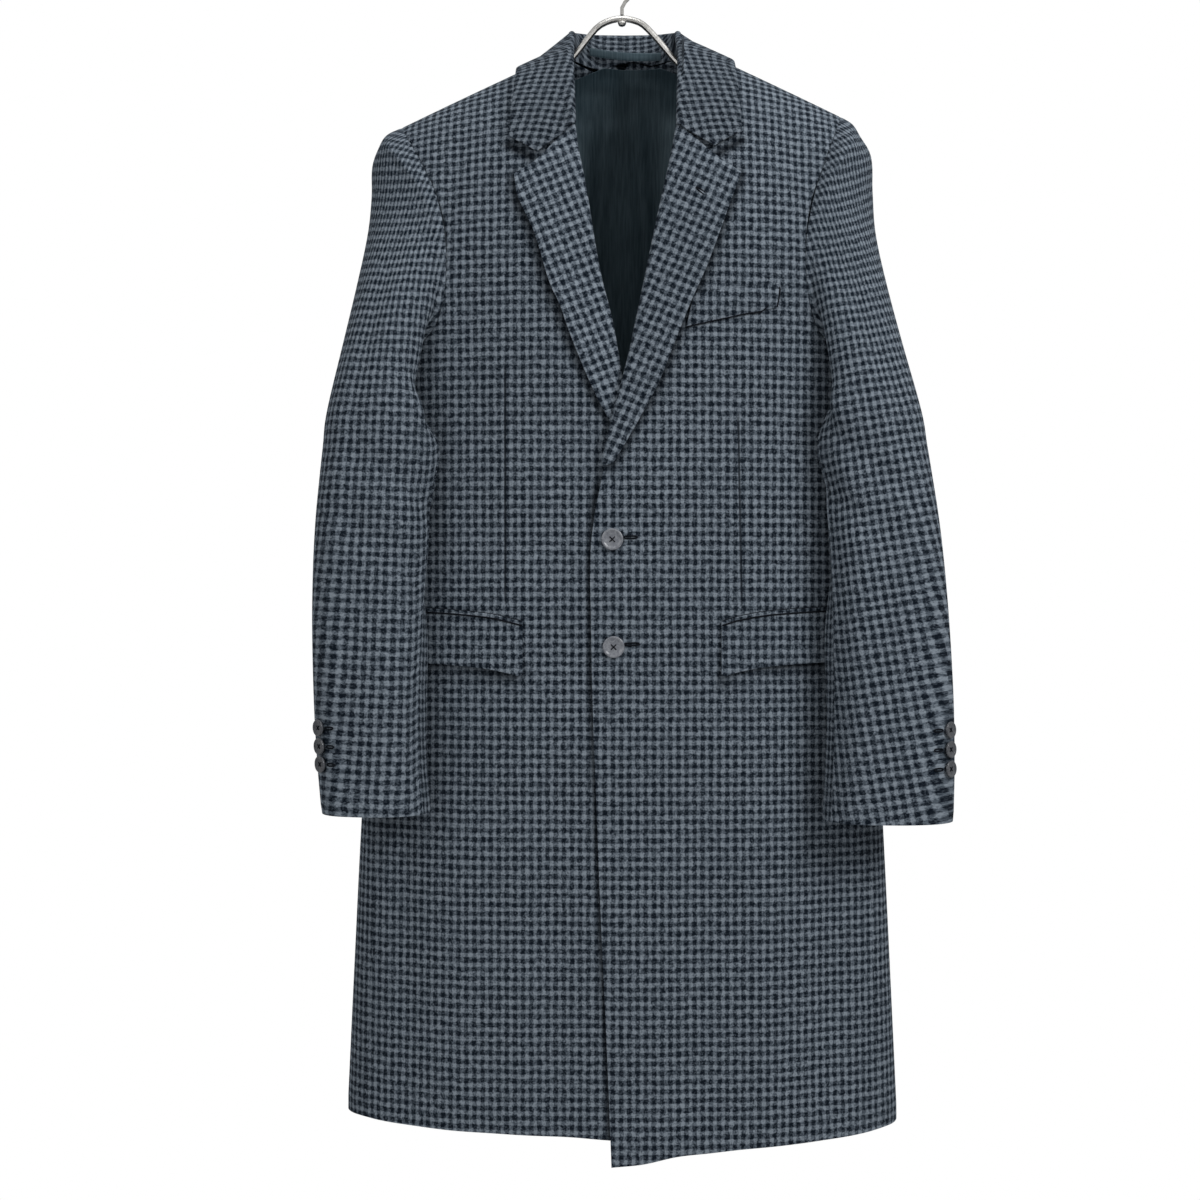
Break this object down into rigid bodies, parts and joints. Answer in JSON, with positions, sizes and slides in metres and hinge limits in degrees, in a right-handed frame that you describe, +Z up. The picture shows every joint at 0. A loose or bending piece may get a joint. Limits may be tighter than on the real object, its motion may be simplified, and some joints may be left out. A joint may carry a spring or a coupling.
{
  "type": "chesterfield coat on a hanger",
  "caption": "Knee-length single-breasted wool chesterfield coat with notch lapels, flap pockets and a breast welt, hung open-necked on a tube hanger.",
  "frame": {"origin": "inner top of the hanger's hook, where the rail holds it", "axes": "+Z up, the coat's front faces -Y, the wearer's left side is +X"},
  "size_m": [0.5885, 0.1905, 1.1452],
  "materials": {
    "wool": "brushed wool, small blue-grey check",
    "wool_under": "brushed wool, small blue-grey check",
    "satin": "satin lining",
    "horn": "glossy",
    "chrome": "polished"
  },
  "bodies": {
    "root": {"front_left": "wool", "front_right": "wool", "back_left": "wool_under", "back_right": "wool_under", "sleeve_top_left": "wool", "sleeve_top_right": "wool", "sleeve_under_left": "wool_under", "sleeve_under_right": "wool_under", "collar": "wool", "lapel_left": "wool", "lapel_right": "wool", "jet_left": "wool", "jet_right": "wool", "flap_left": "wool", "flap_right": "wool", "breast_welt": "wool", "front_button_1": "horn", "front_button_2": "horn", "cuff_button_left_1": "horn", "cuff_button_left_2": "horn", "cuff_button_left_3": "horn", "cuff_button_right_1": "horn", "cuff_button_right_2": "horn", "cuff_button_right_3": "horn", "back_lining_left": "satin", "back_lining_right": "satin", "hanger_loop": "satin", "hanger_bar": "chrome", "hanger_hook": "chrome", "hanger_nut": "chrome"}
  },
  "joints": []
}
